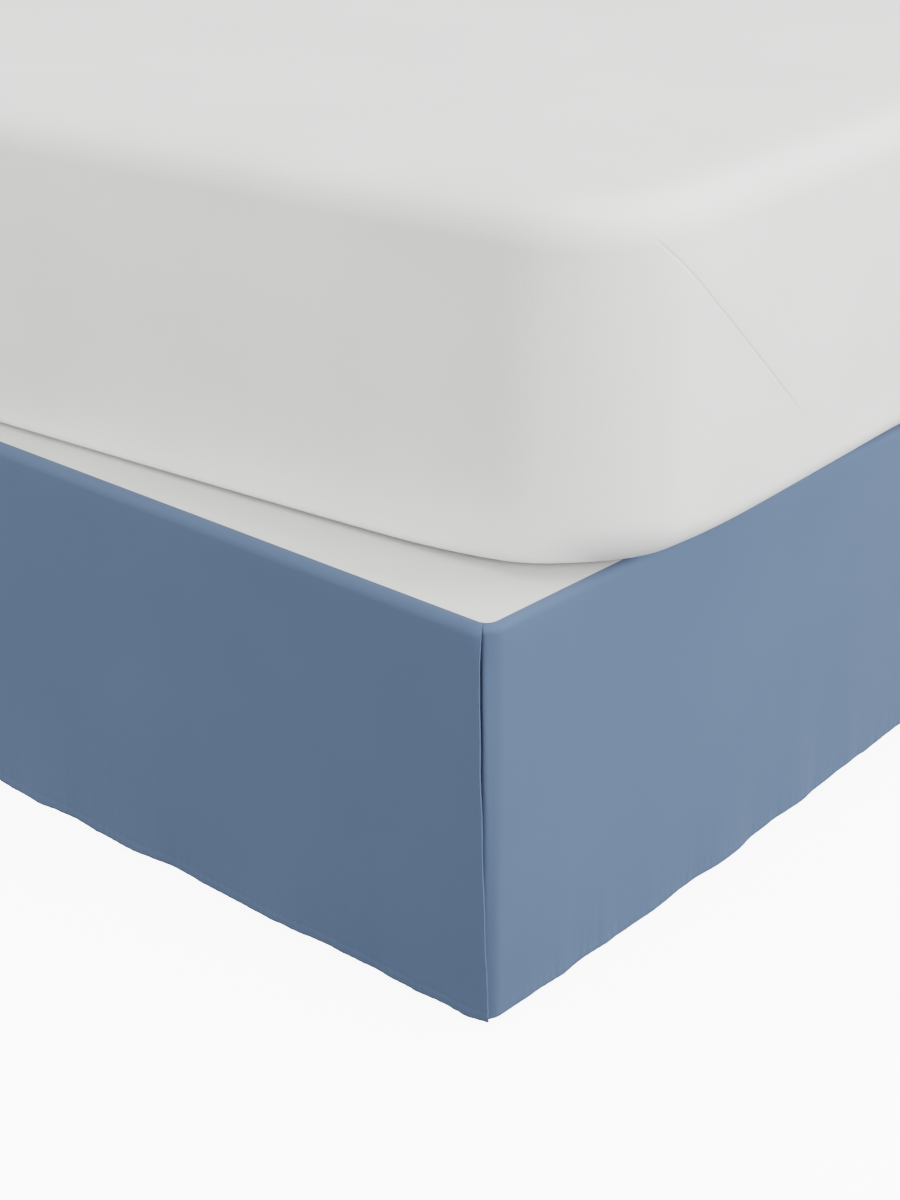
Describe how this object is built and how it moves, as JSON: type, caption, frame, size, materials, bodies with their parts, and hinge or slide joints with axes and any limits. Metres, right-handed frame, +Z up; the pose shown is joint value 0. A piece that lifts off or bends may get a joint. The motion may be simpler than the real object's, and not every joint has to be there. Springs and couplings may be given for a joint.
{
  "type": "bed skirt on a bed with box spring and mattress",
  "caption": "Tailored bed skirt with split foot corners, its deck held between mattress and box spring, that hides the frame and the space under a bed.",
  "frame": {"origin": "centre of the bounding box on the floor, under the middle of the bed", "axes": "+Z up, +X across the bed to its right side seen from the foot, +Y along the bed towards the head; the foot end faces -Y"},
  "size_m": [1.5988, 2.081, 0.6669],
  "materials": {
    "skirt_blue": "smooth brushed microfibre, matt, soft sheen",
    "deck_white": "plain woven sheeting, matt",
    "mattress_cover": "smooth white cotton sheeting, matt",
    "ticking": "woven ticking, matt",
    "frame_steel": "dark powder coat, satin",
    "foot_plastic": "moulded, fine texture"
  },
  "bodies": {
    "root": {"deck": "deck_white", "drop_foot": "skirt_blue", "drop_side_right": "skirt_blue", "drop_side_left": "skirt_blue", "mattress": "mattress_cover", "box_spring": "ticking", "side_rail_right": "frame_steel", "side_rail_left": "frame_steel", "cross_rail_foot": "frame_steel", "cross_rail_middle": "frame_steel", "cross_rail_head": "frame_steel", "leg_foot_right": "frame_steel", "leg_foot_left": "frame_steel", "leg_middle_right": "frame_steel", "leg_middle_left": "frame_steel", "leg_head_right": "frame_steel", "leg_head_left": "frame_steel", "foot_foot_right": "foot_plastic", "foot_foot_left": "foot_plastic", "foot_middle_right": "foot_plastic", "foot_middle_left": "foot_plastic", "foot_head_right": "foot_plastic", "foot_head_left": "foot_plastic"}
  },
  "joints": []
}
